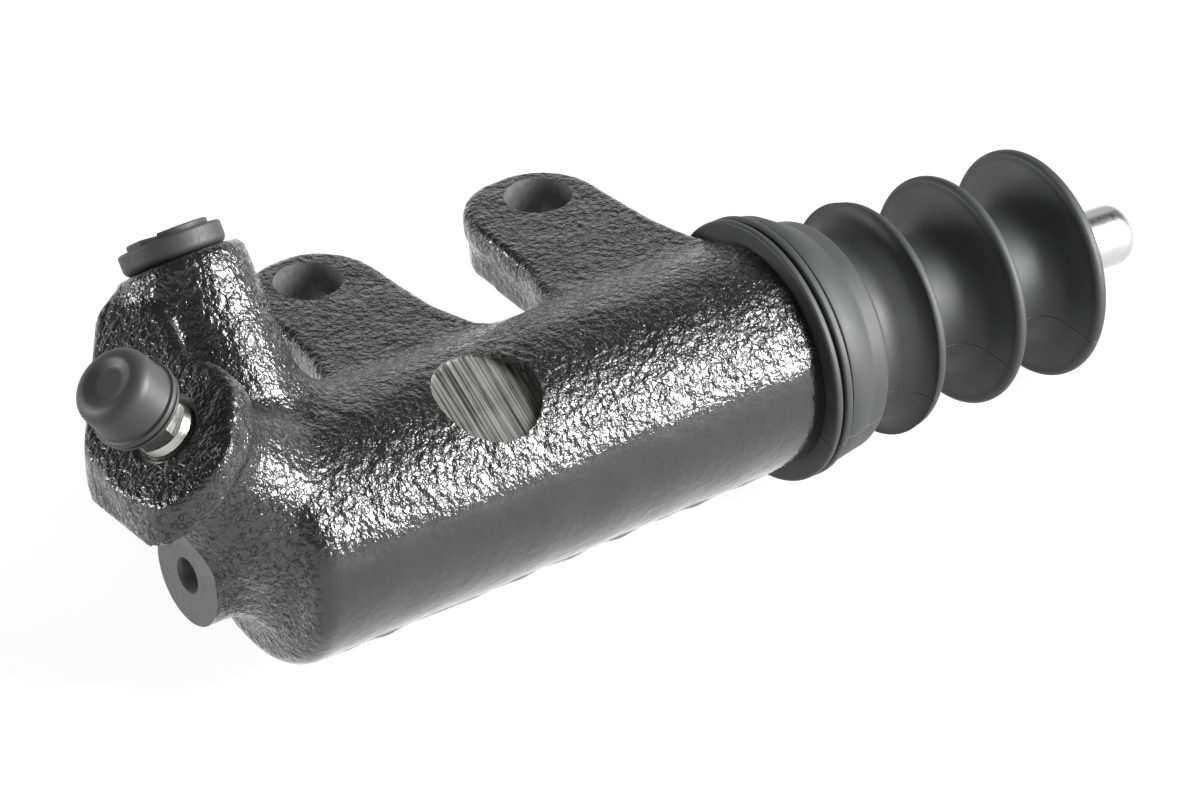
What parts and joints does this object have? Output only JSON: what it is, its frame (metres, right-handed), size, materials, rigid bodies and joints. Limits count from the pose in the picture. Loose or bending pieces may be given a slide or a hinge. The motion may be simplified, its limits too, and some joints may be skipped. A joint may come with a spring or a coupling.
{
  "type": "clutch slave cylinder",
  "caption": "Cast iron hydraulic slave cylinder with bolted ears, an angled inlet tower, a capped bleed screw and a push rod in a bellows boot.",
  "frame": {"origin": "midway between the two fixing holes, on the mounting face under the ears", "axes": "+X along the bore from the closed end to the push rod, +Y from the bore towards the ears, +Z square to the mounting face, out of the ears' cast top"},
  "size_m": [0.1605, 0.0566, 0.0539],
  "materials": {
    "casting_paint": "gloss black paint on rough sand-cast iron",
    "piston_metal": "turned and hard anodised",
    "seal_rubber": "smooth moulded",
    "spring_steel": "plain oiled",
    "rod_steel": "turned and bright zinc plated",
    "boot_rubber": "satin moulded rubber with a parting line",
    "screw_zinc": "bright zinc plated",
    "cap_rubber": "satin moulded",
    "plug_plastic": "fine moulded grain"
  },
  "bodies": {
    "cylinder": {"cylinder_body": "casting_paint", "stop_ring": "spring_steel", "dust_boot": "boot_rubber", "return_spring": "spring_steel"},
    "piston": {"piston": "piston_metal", "primary_cup": "seal_rubber", "secondary_cup": "seal_rubber", "cup_expander": "spring_steel"},
    "pushrod": {"pushrod": "rod_steel"},
    "bleeder_screw": {"bleeder_screw": "screw_zinc"},
    "bleeder_cap": {"bleeder_cap": "cap_rubber"},
    "port_plug": {"port_plug": "plug_plastic"}
  },
  "joints": [
    {"name": "piston_slide", "type": "slide", "parent": "cylinder", "child": "piston", "axis": [1, 0, 0], "range_m": [-0.02, 0], "stiffness_N_per_m": 300, "springref_m": 0.03, "deforming": ["return_spring", "dust_boot"]},
    {"name": "pushrod_tilt", "type": "hinge", "parent": "piston", "child": "pushrod", "pos_m": [0.0155, -0.0313, -0.0041], "axis": [0, 1, 0], "range_deg": [-6, 0.7]},
    {"name": "bleeder_screw_turn", "type": "hinge", "parent": "cylinder", "child": "bleeder_screw", "pos_m": [-0.05908, -0.0313, 0.01789], "axis": [-0.6157, 0, 0.788], "range_deg": [0, 360]},
    {"name": "bleeder_cap_pull", "type": "slide", "parent": "bleeder_screw", "child": "bleeder_cap", "axis": [-0.6157, 0, 0.788], "range_m": [0, 0.01]},
    {"name": "port_plug_pull", "type": "slide", "parent": "cylinder", "child": "port_plug", "axis": [0, 0.6018, 0.7986], "range_m": [0, 0.012]}
  ]
}
